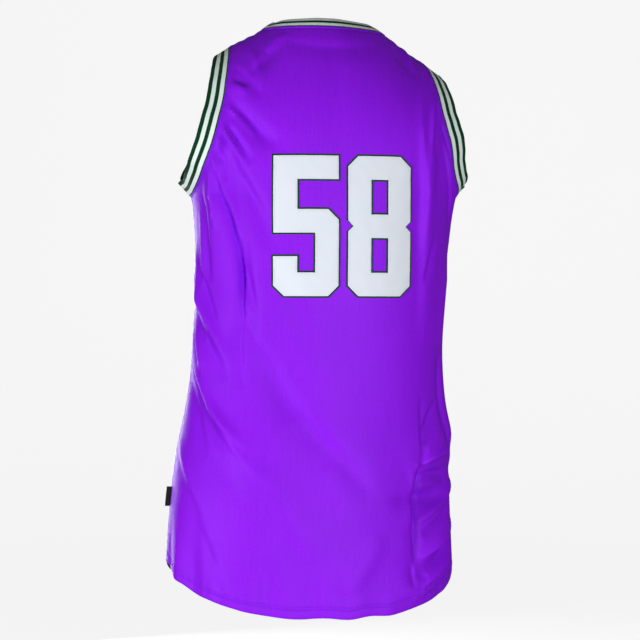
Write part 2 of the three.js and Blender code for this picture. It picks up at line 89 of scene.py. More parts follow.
CREASES = [
    # From the left armhole, and the long hang below it
    (124, -58, 88, -98, 3, 5.5, -3), (128, -70, 104, -82, 0, 4, -3), (130, -82, 106, -94, 1, 4.4, 3.4),
    (137, -98, 74, -162, 1, 8, -6.5), (141, -108, 96, -150, 2, 5, 4.6),
    (143, -114, 126, -130, 0, 3.8, -3.4), (147, -122, 102, -182, 0, 5.5, -7.5),
    (151, -134, 112, -184, 1, 4.6, 5), (154, -140, 138, -164, 1, 4, -3.6),
    (157, -148, 146, -172, 1, 3.8, 3.4), (160, -154, 142, -204, 3, 4.6, -5),
    (165, -160, 152, -182, 0, 3.6, -3.2), (146, -164, 76, -290, 8, 10, -6),
    (170, -168, 160, -196, 0, 3.6, 3), (176, -178, 164, -262, 4, 4.4, 5.4),
    (178, -172, 117, -372, 16, 4.4, -8), (160, -196, 122, -300, 12, 7, 4),
    (124, -266, 115, -392, 0, 4, -4.6), (118, -300, 94, -390, 2, 8, -4.6),
    (192, -206, 176, -330, 2, 6, -3.4), (206, -236, 192, -360, 3, 6, 3),
    # Across the left waist and down to the hip
    (228, -280, 172, -408, 2, 5, 3.2), (214, -296, 150, -396, 3, 6, -4),
    (228, -314, 124, -438, 2, 5.5, 5), (230, -336, 132, -450, 3, 5, -4.4),
    (122, -342, 66, -430, 2, 8, 3.6), (226, -376, 174, -440, 2, 5.5, 4),
    (236, -366, 188, -432, 3, 5.5, -3.6), (238, -392, 58, -582, -5, 6, 3.6),
    (234, -410, 112, -536, -3, 5.5, -3.6), (206, -430, 108, -530, 3, 5, 2.8),
    (170, -478, 84, -542, 3, 5.5, 2.8), (122, -372, 108, -462, 0, 7, -3.4),
    (236, -446, 150, -548, 6, 7, -3.2), (232, -524, 140, -620, 5, 8, 2.8),
    (116, -360, 40, -504, 7, 12, -4.4), (92, -420, -8, -560, 6, 12, -3.8),
    (40, -446, -24, -556, 3, 11, 3), (24, -500, -52, -604, 4, 11, -3), (160, -620, 106, -712, 3, 8, -2),
    (70, -560, 8, -676, 3, 14, 2.4), (84, -300, 20, -420, 4, 14, -2.6),
    # Down from the right armhole
    (-122, -56, -108, -208, -2, 6, -3.4), (-140, -92, -125, -176, -3, 4.2, -6),
    (-137, -86, -121, -156, -2, 5, 3.2), (-146, -124, -168, -168, 0, 4.2, -3.4),
    (-152, -136, -186, -262, -4, 4.4, 5), (-166, -150, -210, -258, 4, 6.5, -6),
    (-106, -128, -114, -292, 0, 7, 3.6), (-133, -270, -120, -330, 0, 4.6, -3.6),
    (-95, -14, -100, -62, 0, 4, 2.2), (-202, -222, -224, -300, 3, 6, 2.6),
    (-186, -300, -180, -430, -4, 8, 3),
    # The upright crease and the swags at the right hip
    (-124, -470, -118, -566, 0, 4, -3.4), (-117, -546, -105, -680, -2, 3.2, -7.4),
    (-108, -552, -99, -640, -1, 4.4, 2.4), (-106, -562, -186, -539, 3, 4, 6.4),
    (-120, -532, -160, -478, 4, 7.5, -6.5), (-110, -573, -180, -571, 3, 6.5, -6.5),
    (-110, -587, -176, -587, 4, 5, 2.6), (-74, -601, -176, -604, 3, 9, -5),
    (-204, -579, -112, -630, 3, 3.8, 6), (-200, -596, -118, -646, 4, 6, -6.5),
    (-202, -624, -114, -676, 3, 3.6, 6.5), (-196, -642, -122, -688, 3, 5, -5),
    (-200, -654, -114, -712, 4, 3.6, 6.5), (-192, -670, -118, -714, 4, 4.4, -5),
    (-200, -676, -104, -724, 4, 3.8, 4.6), (-99, -680, -104, -712, 0, 3.4, -2.4),
    (-106, -693, -126, -702, 0, 7, -2), (-178, -404, -187, -566, -4, 9, -6),
    (-60, -640, -20, -716, 6, 11, 2.4),
    # Under the neck and the shoulder seams
    (76, -38, 52, -12, 0, 4.4, 2.6), (60, -22, 104, -70, 4, 6, -3), (-84, -20, -106, -66, -4, 6, -2.6),
    (-60, -26, 62, -24, 9, 9, -2), (94, -34, 86, -92, 2, 7, 2.4), (-80, -24, -84, -52, 0, 4.4, -2.2),
    # Down at the hem
    (196, -640, 190, -800, 2, 12, 2.8), (118, -650, 112, -800, -3, 13, 2.4),
    (60, -668, 54, -800, 2, 12, -2.2), (-30, -672, -34, -800, 2, 12, 2.2),
    (-150, -700, -156, -800, 0, 9, -1.8), (222, -620, 228, -800, 3, 9, -2.8),
    (86, -700, 84, -800, 0, 8, 2), (-74, -712, -70, -800, 0, 8, 2), (8, -704, 12, -800, 0, 9, -1.8),
    # The same kinds on the front
    (356, -78, 396, -138, -3, 5.5, -3.4), (352, -106, 404, -188, -5, 5, -5.4),
    (344, -142, 362, -198, -2, 4.4, 3.8), (350, -120, 384, -172, -2, 4.4, 4.2),
    (330, -162, 348, -216, -3, 4.4, -4), (314, -190, 356, -356, -12, 4.6, -5.4),
    (346, -196, 358, -352, 4, 6.5, 3.2), (300, -210, 312, -330, 3, 5, 3.2),
    (264, -262, 324, -356, -4, 5.5, 3.8), (258, -300, 340, -404, -3, 5, -3.8),
    (268, -330, 352, -446, -6, 6, -3.4), (276, -410, 372, -532, -7, 6.5, 3.6),
    (256, -420, 400, -580, 4, 6, -3.4), (262, -520, 350, -610, -5, 7, 3),
    (392, -392, 474, -540, -8, 12, -3.8), (430, -470, 512, -610, -6, 12, 3.2),
    (-350, -78, -392, -136, 3, 5.5, -3.4), (-346, -106, -400, -184, 4, 5, -5.4),
    (-340, -142, -362, -192, 2, 4.4, 3.8), (-326, -164, -344, -226, 3, 4.4, -4),
    (-344, -190, -360, -346, -4, 6.5, 3.2), (-296, -214, -314, -340, -3, 5, 3),
    (-268, -300, -330, -392, 4, 5.5, 3.6), (-260, -330, -344, -430, 3, 5, -3.4),
    (-266, -372, -350, -470, 6, 6, -3.2), (-284, -566, -354, -630, -7, 5, 5.4),
    (-290, -584, -358, -650, -6, 5, -5), (-300, -604, -368, -678, -8, 5, 5),
    (-266, -628, -336, -706, -8, 5, -4.4), (-366, -556, -378, -660, 2, 4.2, -4.8),
    (430, -640, 436, -800, 2, 12, 2.4), (-440, -650, -448, -800, 0, 12, -2.4),
    (-376, -640, -372, -800, 2, 12, 2.4), (330, -650, 336, -800, 2, 11, -2.4),
    (470, -690, 474, -800, 0, 9, 2), (384, -700, 380, -800, 0, 8, -2),
]

# The knit's thickness, and how far above the hem its two lines of stitches run
CLOTH = 0.9
HEM_STITCHES = (11.6, 14.2)

# Half the gap that is left between the two panels where they are sewn together
SEAM_GAP = 0.01

# The share of their height that the creases keep at an armhole or the neck, where the rib holds the cloth
SEAM_SLACK = 0.2

# How many millimetres one whole step of a panel's grid covers: of column next to a side seam and next to an
# armhole, and of row next to the shoulder
COLUMN_AT_SIDE = 320
COLUMN_AT_ARM = 260
ROW_AT_TOP = 190

BACK = {"side": 1, "depth": 3, "reach": 230, "reach_at_arm": 115, "roll": 0.64, "scoop": 0, "neck_drop": 2,
        "hem": (-745, -683, 2.5, 1.7)}


def between(table, column, at):
    """A smooth value of a table's column, where at is measured as its first column is. Each stretch is a
    cubic whose slope at a row is the slope from the row before to the row after."""
    by, value = table[:, 0], table[:, column]
    slope = np.diff(value, prepend=0) / np.diff(by, prepend=1)
    slope[0] = slope[1]
    slope[1:-1] = (value[2:] - value[:-2]) / (by[2:] - by[:-2])
    i = np.clip(np.searchsorted(by, at) - 1, 0, len(by) - 2)
    span = by[i + 1] - by[i]
    t = np.clip((at - by[i]) / span, 0, 1)
    return (value[i] * (1 + 2 * t) * (1 - t) ** 2 + value[i + 1] * t * t * (3 - 2 * t)
            + span * (slope[i] * t * (1 - t) ** 2 - slope[i + 1] * t * t * (1 - t)))


def cloth_depth(panel, x, z):
    """How far the cloth lies from the plane of the side seams: the section's depth as a squared-off ellipse,
    times the sine by which it rolls over to nothing at the line of the shoulders."""
    across = np.minimum(np.abs(x - between(SECTIONS, 1, z)) / between(SECTIONS, 2, z), 1)
    full = between(SECTIONS, panel["depth"], z) * (1 - across ** SQUARENESS) ** (1 / SQUARENESS)
    reach = panel["reach"] + (panel["reach_at_arm"] - panel["reach"]) * np.minimum(np.abs(x) / WIDEST, 1)
    below = np.clip((between(SHOULDER_LINE, 1, x) - z) / reach, 0, 1)
    return full * np.sin(np.pi / 2 * below ** panel["roll"])


def around_body(panel, x, z):
    """The distance round the body from the middle of the back: the section's angle, as a share of the girth.
    Above the underarm it is taken straight up from there."""
    level = np.minimum(z, UNDERARM)
    share = np.clip((x - between(SECTIONS, 1, level)) / between(SECTIONS, 2, level), -1, 1)
    turn = np.arcsin(share) / np.pi
    return GIRTH / 2 * (turn if panel["side"] > 0 else np.where(share < 0, -1, 1) - turn)


def fold_lift(around, z, slack=1):
    """How far the folds lift the cloth: each is a bell across its line, whose height follows half a sine
    wave from one end to the other, fuller for the creases, and whose line is bent sideways by a parabola.
    The bell is steeper below a ridge and above a trough, as cloth hangs. slack is the creases' share of
    their height."""
    lift = 0.35 * np.sin(z / 47 + 2 * np.sin(around / 61)) * np.sin(around / 39 + 1.3 * np.sin(z / 83))
    for number, (start_a, start_z, end_a, end_z, bow, width, height) in enumerate(LARGE_FOLDS + CREASES):
        middle = (start_a + end_a) / 2
        a = (around - middle + GIRTH / 2) % GIRTH - GIRTH / 2 + middle - start_a
        run = np.hypot(end_a - start_a, end_z - start_z)
        line_a, line_z = (end_a - start_a) / run, (end_z - start_z) / run
        along = (a * line_a + (z - start_z) * line_z) / run
        bend = bow * 4 * along * (1 - along)
        across = (a * line_z - (z - start_z) * line_a - bend) / width
        hang = 0.35 if (line_a > 0) == (height > 0) else -0.35
        across = across * (1 + hang * np.tanh(across))
        large = number < len(LARGE_FOLDS)
        rise = np.sin(np.pi * np.clip(along, 0, 1)) ** (1 if large else 0.75)
        lift = lift + height * np.exp(-across ** 2) * rise * (1 if large else slack)
    return lift


def neck_seam(panel, x, share):
    """The height of the neck seam: the straight line between the shoulder seams, less a drop that leaves
    them level and rounds out in the middle."""
    ends = between(SHOULDER_LINE, 1, np.array([-NECK_HALF_WIDTH, NECK_HALF_WIDTH]))
    inwards = np.cos(np.pi / 2 * share)
    level = np.interp(x, [-NECK_HALF_WIDTH, NECK_HALF_WIDTH], ends)
    return level - panel["neck_drop"] * inwards ** 1.6 * (2.2 - 1.2 * inwards)


def smooth_cloth(panel, column, row):
    """The panel without its folds. column runs from -1 at the right side seam to 1 at the left, and row
    from 0 at the hem to 1 at the underarm and 2 at the shoulder and neck seams. Below the underarm x is the
    section's sine; above it the column's share of the way to the armhole seam, turned slowly into its place
    on top."""
    share, left = np.abs(column), column >= 0
    sign = np.where(left, 1, -1)
    middle, side, late_right, late_left = panel["hem"]
    hem = middle + (side - middle) * share ** np.where(left, late_left, late_right)
    hem = hem + 1.3 * (1 - share ** 4) * np.sin(19 * column + 2 * np.sin(7 * column + 1))
    low_z = hem + (UNDERARM - hem) * np.minimum(row, 1)
    low_x = between(SECTIONS, 1, low_z) + between(SECTIONS, 2, low_z) * np.sin(np.pi / 2 * column)

    climb = np.clip(row - 1, 0, 1)
    rise = climb + ((1 - np.cos(np.pi * climb)) / 2 - climb) * share ** 2
    in_neck = share < NECK_COLUMN
    tip = np.where(left, ARMHOLES[-1, 1], ARMHOLES[-1, 2])
    neck_share = np.minimum(share / NECK_COLUMN, 1)
    past_neck = np.clip((share - NECK_COLUMN) / (1 - NECK_COLUMN), 0, 1)
    top_x = np.where(in_neck, NECK_HALF_WIDTH * np.sin(np.pi / 2 * neck_share),
                     NECK_HALF_WIDTH + (tip - NECK_HALF_WIDTH) * past_neck)
    top_z = np.where(in_neck, neck_seam(panel, sign * top_x, neck_share),
                     between(SHOULDER_LINE, 1, sign * top_x))
    centre = between(SECTIONS, 1, np.array([UNDERARM]))[0] * (1 - rise)
    seam = np.where(left, between(ARMHOLES, 1, rise), between(ARMHOLES, 2, rise))
    seam = seam - panel["scoop"] * np.sin(np.pi * rise)
    sine = np.sin(np.pi / 2 * share)
    high_x = centre + sign * (seam - sign * centre) * (sine + (top_x / tip - sine) * rise)
    high_z = UNDERARM + (top_z - UNDERARM) * rise

    x, z = np.where(row <= 1, low_x, high_x), np.where(row <= 1, low_z, high_z)
    return np.stack([x, panel["side"] * (SEAM_GAP + cloth_depth(panel, x, z)), z], -1)


def outward(panel, column, row):
    """The smooth cloth's outward direction: the cross product of its steps up and across, laid in the plane
    of the seam at the side and shoulder seams."""
    step = 0.004
    across = (smooth_cloth(panel, np.minimum(column + step, 1), row)
              - smooth_cloth(panel, np.maximum(column - step, -1), row))
    up = (smooth_cloth(panel, column, np.minimum(row + step, 2))
          - smooth_cloth(panel, column, np.maximum(row - step, 0)))
    normal = np.cross(up, across) * panel["side"]
    on_side = (np.abs(column) == 1) & (row <= 1)
    on_shoulder = (row == 2) & (np.abs(column) >= NECK_COLUMN)
    normal[..., 1] = np.where(on_side | on_shoulder, 0, normal[..., 1])
    return normal / np.linalg.norm(normal, axis=-1, keepdims=True)


def sewn_lift(panel, column, row, point):
    """What sewing does to the surface: a groove where the panels meet, small puckers that die away from it,
    a hem band that swells a little between its edge and its stitches, and a groove under each line of
    them."""
    around = around_body(panel, point[..., 0], point[..., 2])
    z = point[..., 2]
    far = 90
    from_side = np.where(row <= 1, (1 - np.abs(column)) * COLUMN_AT_SIDE, far)
    from_arm = np.where(row >= 1, (1 - np.abs(column)) * COLUMN_AT_ARM, far)
    from_top = (2 - row) * ROW_AT_TOP
    lift = -0.8 * np.exp(-(from_side / 1.6) ** 2) - 0.5 * np.exp(-(from_top / 2.2) ** 2)
    lift += 0.5 * np.exp(-from_side / 7) * np.sin(z / 1.9 + 2.3 * np.sin(z / 17))
    lift += 0.55 * np.exp(-from_arm / 8) * np.sin(z / 2.3 + 2 * np.sin(z / 23)) * np.clip(row - 1, 0, 0.2) * 5
    lift += 0.5 * np.exp(-from_top / 8) * np.sin(point[..., 0] / 2.4 + 2 * np.sin(point[..., 0] / 19))
    middle, side, late_right, late_left = panel["hem"]
    above = row * (UNDERARM - middle)
    lift += 0.5 * np.sin(np.pi * np.clip(above / HEM_STITCHES[0], 0, 1)) - 0.7 * np.exp(-(above / 0.9) ** 2)
    for line in HEM_STITCHES:
        lift -= 0.45 * np.exp(-((above - line) / 0.8) ** 2)
    pucker = np.sin(around / 2.1 + 2.4 * np.sin(around / 29)) * (0.6 + 0.4 * np.sin(around / 41))
    return lift + 0.45 * pucker * np.exp(-((above - 12) / 8) ** 2)


def worn_cloth(panel, column, row):
    """The outer face of the panel with its folds and its sewing, and the outward direction that they
    follow"""
    point = smooth_cloth(panel, column, row)
    normal = outward(panel, column, row)
    below_arm = np.maximum(1 - row, 0) * (UNDERARM - panel["hem"][0])
    from_arm = np.hypot((1 - np.abs(column)) * COLUMN_AT_ARM, below_arm)
    from_seam = np.minimum(from_arm, (2 - row) * ROW_AT_TOP)
    easing = 11
    slack = SEAM_SLACK + (1 - SEAM_SLACK) * np.clip(from_seam / easing, 0, 1)
    lift = fold_lift(around_body(panel, point[..., 0], point[..., 2]), point[..., 2], slack)
    lift = lift + sewn_lift(panel, column, row, point)
    return point + normal * lift[..., None], normal


def panel_columns():
    """Columns 6 mm apart in the middle and 2.1 mm where the creases are, closer still at the side seams,
    with one at each end of the neck"""
    half = np.concatenate([
        np.linspace(0, 0.4, 16, endpoint=False), np.linspace(0.4, NECK_COLUMN, 25, endpoint=False),
        np.linspace(NECK_COLUMN, 0.98, 42), [0.987, 0.9935, 0.9964, 0.9982, 0.9992, 1],
    ])
    return np.concatenate([-half[:0:-1], half])


def panel_rows(panel):
    """Rows 2.3 mm apart round the hips and 3.2 mm above, closer at the hem's stitches and near the
    shoulder"""
    hem = np.array([0, 0.5, 1.2, 2.4, 4.5, 7, 9, 10.4, 11.1, 11.6, 12.2, 12.9, 13.6, 14.2, 14.9, 16, 18.5])
    length = UNDERARM - panel["hem"][0]
    climb = 1 - (1 - np.linspace(0, 1, 68)) ** 1.5
    hips, waist = np.linspace(21 / length, 0.44, 90, endpoint=False), np.linspace(0.44, 1, 92)
    return np.concatenate([hem / length, hips, waist, 1 + climb[1:]])


def wall_faces(rows, columns):
    """The quads of a wall: its outer grid, its inner grid turned round, and the rim that joins their
    edges"""
    grid = np.arange(rows * columns).reshape(rows, columns)
    outer = np.stack([grid[:-1, :-1], grid[1:, :-1], grid[1:, 1:], grid[:-1, 1:]], -1).reshape(-1, 4)
    rim = np.concatenate([grid[:-1, 0], grid[-1, :-1], grid[:0:-1, -1], grid[0, :0:-1]])
    after = np.roll(rim, -1)
    inside = rows * columns
    edge = np.stack([after, rim, rim + inside, after + inside], -1)
    return np.concatenate([outer, outer[:, ::-1] + inside, edge])


def add_piece(name, points, faces, material, uv=None, uv_faces=None):
    """Puts points in millimetres, and faces given as arrays of corners, into a smooth mesh in metres.
    uv_faces gives each corner's row of uv where the two don't run alike, as on a ring."""
    faces = faces if isinstance(faces, list) else [faces]
    corners = np.concatenate([f.ravel() for f in faces])
    sizes = np.concatenate([np.full(len(f), f.shape[1]) for f in faces])
    mesh = bpy.data.meshes.new(name)
    mesh.vertices.add(points.reshape(-1, 3).shape[0])
    mesh.vertices.foreach_set("co", (points / 1000).ravel())
    mesh.loops.add(len(corners))
    mesh.loops.foreach_set("vertex_index", corners)
    mesh.polygons.add(len(sizes))
    mesh.polygons.foreach_set("loop_start", np.cumsum(sizes) - sizes)
    mesh.update(calc_edges=True)
    if uv is not None:
        at = corners if uv_faces is None else uv_faces.ravel()
        mesh.uv_layers.new(name="cloth").uv.foreach_set("vector", (uv.reshape(-1, 2)[at] / 1000).ravel())
    mesh.set_sharp_from_angle(angle=np.radians(60))
    mesh.materials.append(material)
    piece = bpy.data.objects.new(name, mesh)
    bpy.context.collection.objects.link(piece)
    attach(piece, "root")
    return piece


def surface_area(grid):
    """The area of a grid of points in square metres, from the cross products of its quads' diagonals"""
    cross = np.cross(grid[1:, 1:] - grid[:-1, :-1], grid[1:, :-1] - grid[:-1, 1:])
    return float(np.linalg.norm(cross, axis=-1).sum() / 2 / 1e6)


def make_panel(name, panel, material):
    """The wall of a panel: its outer face, and its inner face one cloth's thickness in, or two at the hem"""
    column, row = np.meshgrid(panel_columns(), panel_rows(panel))
    outer, normal = worn_cloth(panel, column, row)
    above = row * (UNDERARM - panel["hem"][0])
    turned = np.clip((HEM_STITCHES[1] + 1.5 - above) / 1.5, 0, 1) * np.clip(above / 1.2, 0, 1)
    folded = 1 - 0.7 * np.exp(-(above / 0.9) ** 2)
    inner = outer - normal * (CLOTH * folded + 0.9 * turned)[..., None]
    uv = np.stack([around_body(panel, outer[..., 0], outer[..., 2]), outer[..., 2]], -1)
    if panel["side"] < 0:
        outer, inner, uv = outer[:, ::-1], inner[:, ::-1], uv[:, ::-1]
    piece = add_piece(name, np.stack([outer, inner]), wall_faces(*column.shape), material, np.stack([uv, uv]))
    return piece, surface_area(outer)


class Wire:
    """A socket in a material. Each operator adds its Math node, so that shader maths is written as a sum."""

    def __init__(self, dye, socket):
        self.dye, self.socket = dye, socket

    def math(self, operation, *others):
        return self.dye.node("Math", {"operation": operation}, dict(enumerate((self, *others))))

    def __add__(self, other):
        return self.math("ADD", other)

    def __sub__(self, other):
        return self.math("SUBTRACT", other)

    def __rsub__(self, other):
        return self.dye.node("Math", {"operation": "SUBTRACT"}, {0: other, 1: self})

    def __mul__(self, other):
        return self.math("MULTIPLY", other)

    def __truediv__(self, other):
        return self.math("DIVIDE", other)

    __radd__, __rmul__ = __add__, __mul__


class Dye:
    """A cloth's material: the shader with its constant values, and the nodes that vary over the surface"""

    def __init__(self, name, constants):
        self.material = bpy.data.materials.new(name)
        self.material.use_nodes = True
        self.tree = self.material.node_tree
        self.shader = self.tree.nodes["Principled BSDF"]
        for socket, value in constants.items():
            self.shader.inputs[socket].default_value = value

    def node(self, kind, settings=None, sockets=None, output=0):
        """Adds a node: its settings first, then its sockets' values or links. Returns one output as a
        Wire."""
        node = self.tree.nodes.new("ShaderNode" + kind)
        for setting, value in (settings or {}).items():
            if setting == "stops":
                ramp = node.color_ramp
                while len(ramp.elements) < len(value):
                    ramp.elements.new(0.5)
                for element, (place, colour) in zip(ramp.elements, value):
                    element.position, element.color = place, (*colour, 1)
            elif setting == "steps":
                node.color_ramp.interpolation = value
            else:
                setattr(node, setting, value)
        for socket, value in (sockets or {}).items():
            if isinstance(value, Wire):
                self.tree.links.new(value.socket, node.inputs[socket])
            else:
                node.inputs[socket].default_value = value
        return Wire(self, node.outputs[output])

    def feed(self, **wires):
        """Links wires into the shader, where base_color stands for Base Color"""
        for name, wire in wires.items():
            self.tree.links.new(wire.socket, self.shader.inputs[name.replace("_", " ").title()])
        return self.material

    def mix(self, share, first, second):
        """Two colours mixed by a share"""
        return self.node("Mix", {"data_type": "RGBA"}, {0: share, 6: first, 7: second}, output=2)


def knit_stitches(dye, place, pitch_across, pitch_up):
    """The face of a plain knit: columns of stitches as a sine across, in rows that lean to and fro within
    them, as the product of the two. 1 on a stitch and 0 between."""
    axes = dye.node("SeparateXYZ", None, {0: place})
    up = Wire(dye, axes.socket.node.outputs[1])
    column = (axes * (2 * np.pi / pitch_across)).math("SINE") * 0.5 + 0.5
    lean = (axes * (4 * np.pi / pitch_across)).math("SINE") * 0.9
    row = (up * (2 * np.pi / pitch_up) + lean).math("SINE") * 0.5 + 0.5
    return column * 0.6 + row * 0.4


def purple_knit():
    """Purple polyester knit: fine stitches, uneven yarn that shows as specks and as faint upright streaks,
    and slightly uneven dye"""
    dye = Dye("purple_knit", {"Specular IOR Level": 0.08, "Sheen Weight": 0.02, "Sheen Roughness": 0.4,
                              "Sheen Tint": (0.4, 0.15, 1, 1)})
    place = dye.node("UVMap", {"uv_map": "cloth"})
    stitches = knit_stitches(dye, place, 0.0011, 0.0009)
    object_place = dye.node("TexCoord", output=3)
    patches = dye.node("TexNoise", None, {"Vector": object_place, "Scale": 9.0, "Detail": 3.0})
    specks = dye.node("TexNoise", None, {"Vector": place, "Scale": 360.0, "Detail": 2.0})
    upright = dye.node("Mapping", None, {"Vector": place, "Scale": (1, 0.05, 1)})
    streaks = dye.node("TexNoise", None, {"Vector": upright, "Scale": 380.0, "Detail": 1.0})
    tone = patches * 0.25 + stitches * 0.15 + specks * 0.4 + streaks * 0.2
    colour = dye.mix(tone, (0.13, 0.004, 0.51, 1), (0.33, 0.012, 0.93, 1))
    relief = dye.node("Bump", None, {"Strength": 0.4, "Distance": 0.00015, "Height": stitches + specks * 1.5})
    return dye.feed(base_color=colour, roughness=0.44 + tone * 0.16, normal=relief)


PURPLE_KNIT = purple_knit()
back, back_area = make_panel("back_panel_cloth", BACK, PURPLE_KNIT)
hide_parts("back_panel")


# The front panel. The same knit, with a scooped neck and a slightly shorter hem. It faces away in the
# photograph, so it is plain, with the same kinds of creases.

FRONT = {"side": -1, "depth": 4, "reach": 250, "reach_at_arm": 125, "roll": 0.74, "scoop": 14,
         "neck_drop": 165, "hem": (-736, -683, 2, 2)}

front, front_area = make_panel("front_panel_cloth", FRONT, PURPLE_KNIT)
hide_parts("front_panel")


# The ribs of the two armholes. Each is a strip of striped rib knit folded double, sewn round the opening with
# its fold free, and it leans in a little over the edge.

RIB_WIDTH = 25
RIB_THICKNESS = 2
RIB_STRIPES = [
    (5.5, "green"), (10.8, "white"), (15.8, "green"), (21, "white"), (22.8, "green"), (25, "purple"),
]

# How far each rib leans inwards at its seam and its free edge, in radians, how much more on top, and how far
# its last quarter rolls over
RIB_LEANS = {"left": (-0.12, -0.25, 0.5, 0), "right": (-0.14, -0.3, 0.6, 0), "neck": (0.02, 0.2, 0, 1.1)}


def opening_edge(panel, columns, rows):
    """Points along a panel's edge and their outward directions, with the folds"""
    column, row = np.broadcast_arrays(np.asarray(columns, float), np.asarray(rows, float))
    point = smooth_cloth(panel, column, row)
    normal = outward(panel, column, row)
    lift = fold_lift(around_body(panel, point[:, 0], point[:, 2]), point[:, 2], SEAM_SLACK)
    return point + normal * lift[:, None], normal


def even_ring(values, length, count):
    """Values along a closed loop, taken again at even steps of its length"""
    steps = np.linspace(0, length[-1], count, endpoint=False)
    closed = np.concatenate([values, values[:1]])
    return np.stack([np.interp(steps, length, closed[:, i]) for i in range(3)], -1)


def smoothed(ring, times):
    """A closed loop of vectors, each mixed with its neighbours by a quarter, so many times"""
    for _ in range(times):
        ring = ring / 2 + (np.roll(ring, 1, 0) + np.roll(ring, -1, 0)) / 4
    return ring


def rib_section():
    """The closed profile of a rib, as distance across from the seam and depth below its face: out along a
    slightly crowned face, round the fold in a half circle, back along the inside, and up round the seam"""
    radius = RIB_THICKNESS / 2
    face = np.linspace(0.5, RIB_WIDTH - radius, 30)
    crown = -0.35 * np.sin(np.pi * face / RIB_WIDTH)
    turn = np.linspace(0, np.pi, 9)[1:-1]
    fold = np.stack([RIB_WIDTH - radius + radius * np.sin(turn), radius - radius * np.cos(turn)], -1)
    inside = np.linspace(RIB_WIDTH - radius, 0.5, 16)
    seam = np.array([(0, RIB_THICKNESS * 0.75), (-0.2, RIB_THICKNESS * 0.45), (0.05, 0.15)])
    return np.concatenate([
        np.stack([face, crown], -1), fold, np.stack([inside, np.full(16, float(RIB_THICKNESS))], -1), seam,
    ])


def make_rib(name, front_edge, back_edge, centre, lean, count, material):
    """A rib's profile carried round the loop of seam points: across is along the cross product of the
    loop's direction and the cloth's outward direction. The lean changes evenly with the distance, and the
    last quarter rolls over as an arc, whose chord is turned half as far as its end."""
    def midway(a, b):
        normal = a[1] + b[1]
        return (a[0] + b[0]) / 2, normal / np.linalg.norm(normal)

    start = midway([v[0] for v in front_edge], [v[0] for v in back_edge])
    end = midway([v[-1] for v in front_edge], [v[-1] for v in back_edge])
    point, normal = (np.concatenate([s[None], f[1:-1], e[None], b[-2:0:-1]])
                     for s, f, e, b in zip(start, front_edge, end, back_edge))
    steps = np.linalg.norm(np.diff(point, axis=0, append=point[:1]), axis=1)
    length = np.concatenate([[0], np.cumsum(steps)])
    point, normal = even_ring(point, length, count), smoothed(even_ring(normal, length, count), 3)
    point = smoothed(point, 1)
    normal /= np.linalg.norm(normal, axis=1, keepdims=True)
    direction = np.roll(point, -1, 0) - np.roll(point, 1, 0)
    away = np.cross(direction, normal)
    away = smoothed(away / np.linalg.norm(away, axis=1, keepdims=True), 2)
    away /= np.linalg.norm(away, axis=1, keepdims=True)
    away *= np.sign(np.sum(away * (centre - point), axis=1, keepdims=True).sum())

    section = rib_section()
    across, below = section[:, 0, None, None], section[:, 1, None, None]
    share = across / RIB_WIDTH
    more = lean[2] * np.maximum(normal[:, 2:], 0) ** 2
    turned = lean[0] + (lean[1] - lean[0]) * share + more
    rolled = np.clip(share * 4 - 3, 0, 1)
    roll = lean[3] * rolled
    at = np.linspace(0, 2 * np.pi, count, endpoint=False)[None, :, None]
    wave = share * (0.35 * np.sin(9 * at + 2 * np.sin(3 * at)) + 0.2 * np.sin(23 * at + 1.7))
    drop = RIB_WIDTH * share * np.sin((turned + more) / 2 + lean[0]) - 0.3 - wave
    drop = drop + RIB_WIDTH / 4 * rolled * np.sin(roll / 2)
    out = across * np.cos(turned) - RIB_WIDTH / 4 * rolled * (1 - np.cos(roll / 2))
    through = np.where(share > 0.05, turned, 0) + roll
    points = (point + away * out - normal * drop
              - (normal * np.cos(through) + away * np.sin(through)) * below)

    rows, ring = len(section), length[-1]
    i, j = np.meshgrid(np.arange(rows), np.arange(count), indexing="ij")
    faces = np.stack([i * count + j, i * count + (j + 1) % count, (i + 1) % rows * count + (j + 1) % count,
                      (i + 1) % rows * count + j], -1).reshape(-1, 4)
    wide = count + 1
    uv_faces = np.stack([i * wide + j, i * wide + j + 1, (i + 1) * wide + j + 1, (i + 1) * wide + j],
                        -1).reshape(-1, 4)
    over = np.append(section[:, 0], section[0, 0])
    uv = np.stack(np.broadcast_arrays(np.linspace(0, ring, wide)[None, :], over[:, None]), -1)
    facing = np.cross(points[1, 1] - points[1, 0], points[2, 0] - points[1, 0]) @ normal[0]
    if facing < 0:
        faces, uv_faces = faces[:, ::-1], uv_faces[:, ::-1]
    piece = add_piece(name, points, faces, material, uv, uv_faces)
    return piece, float(ring)


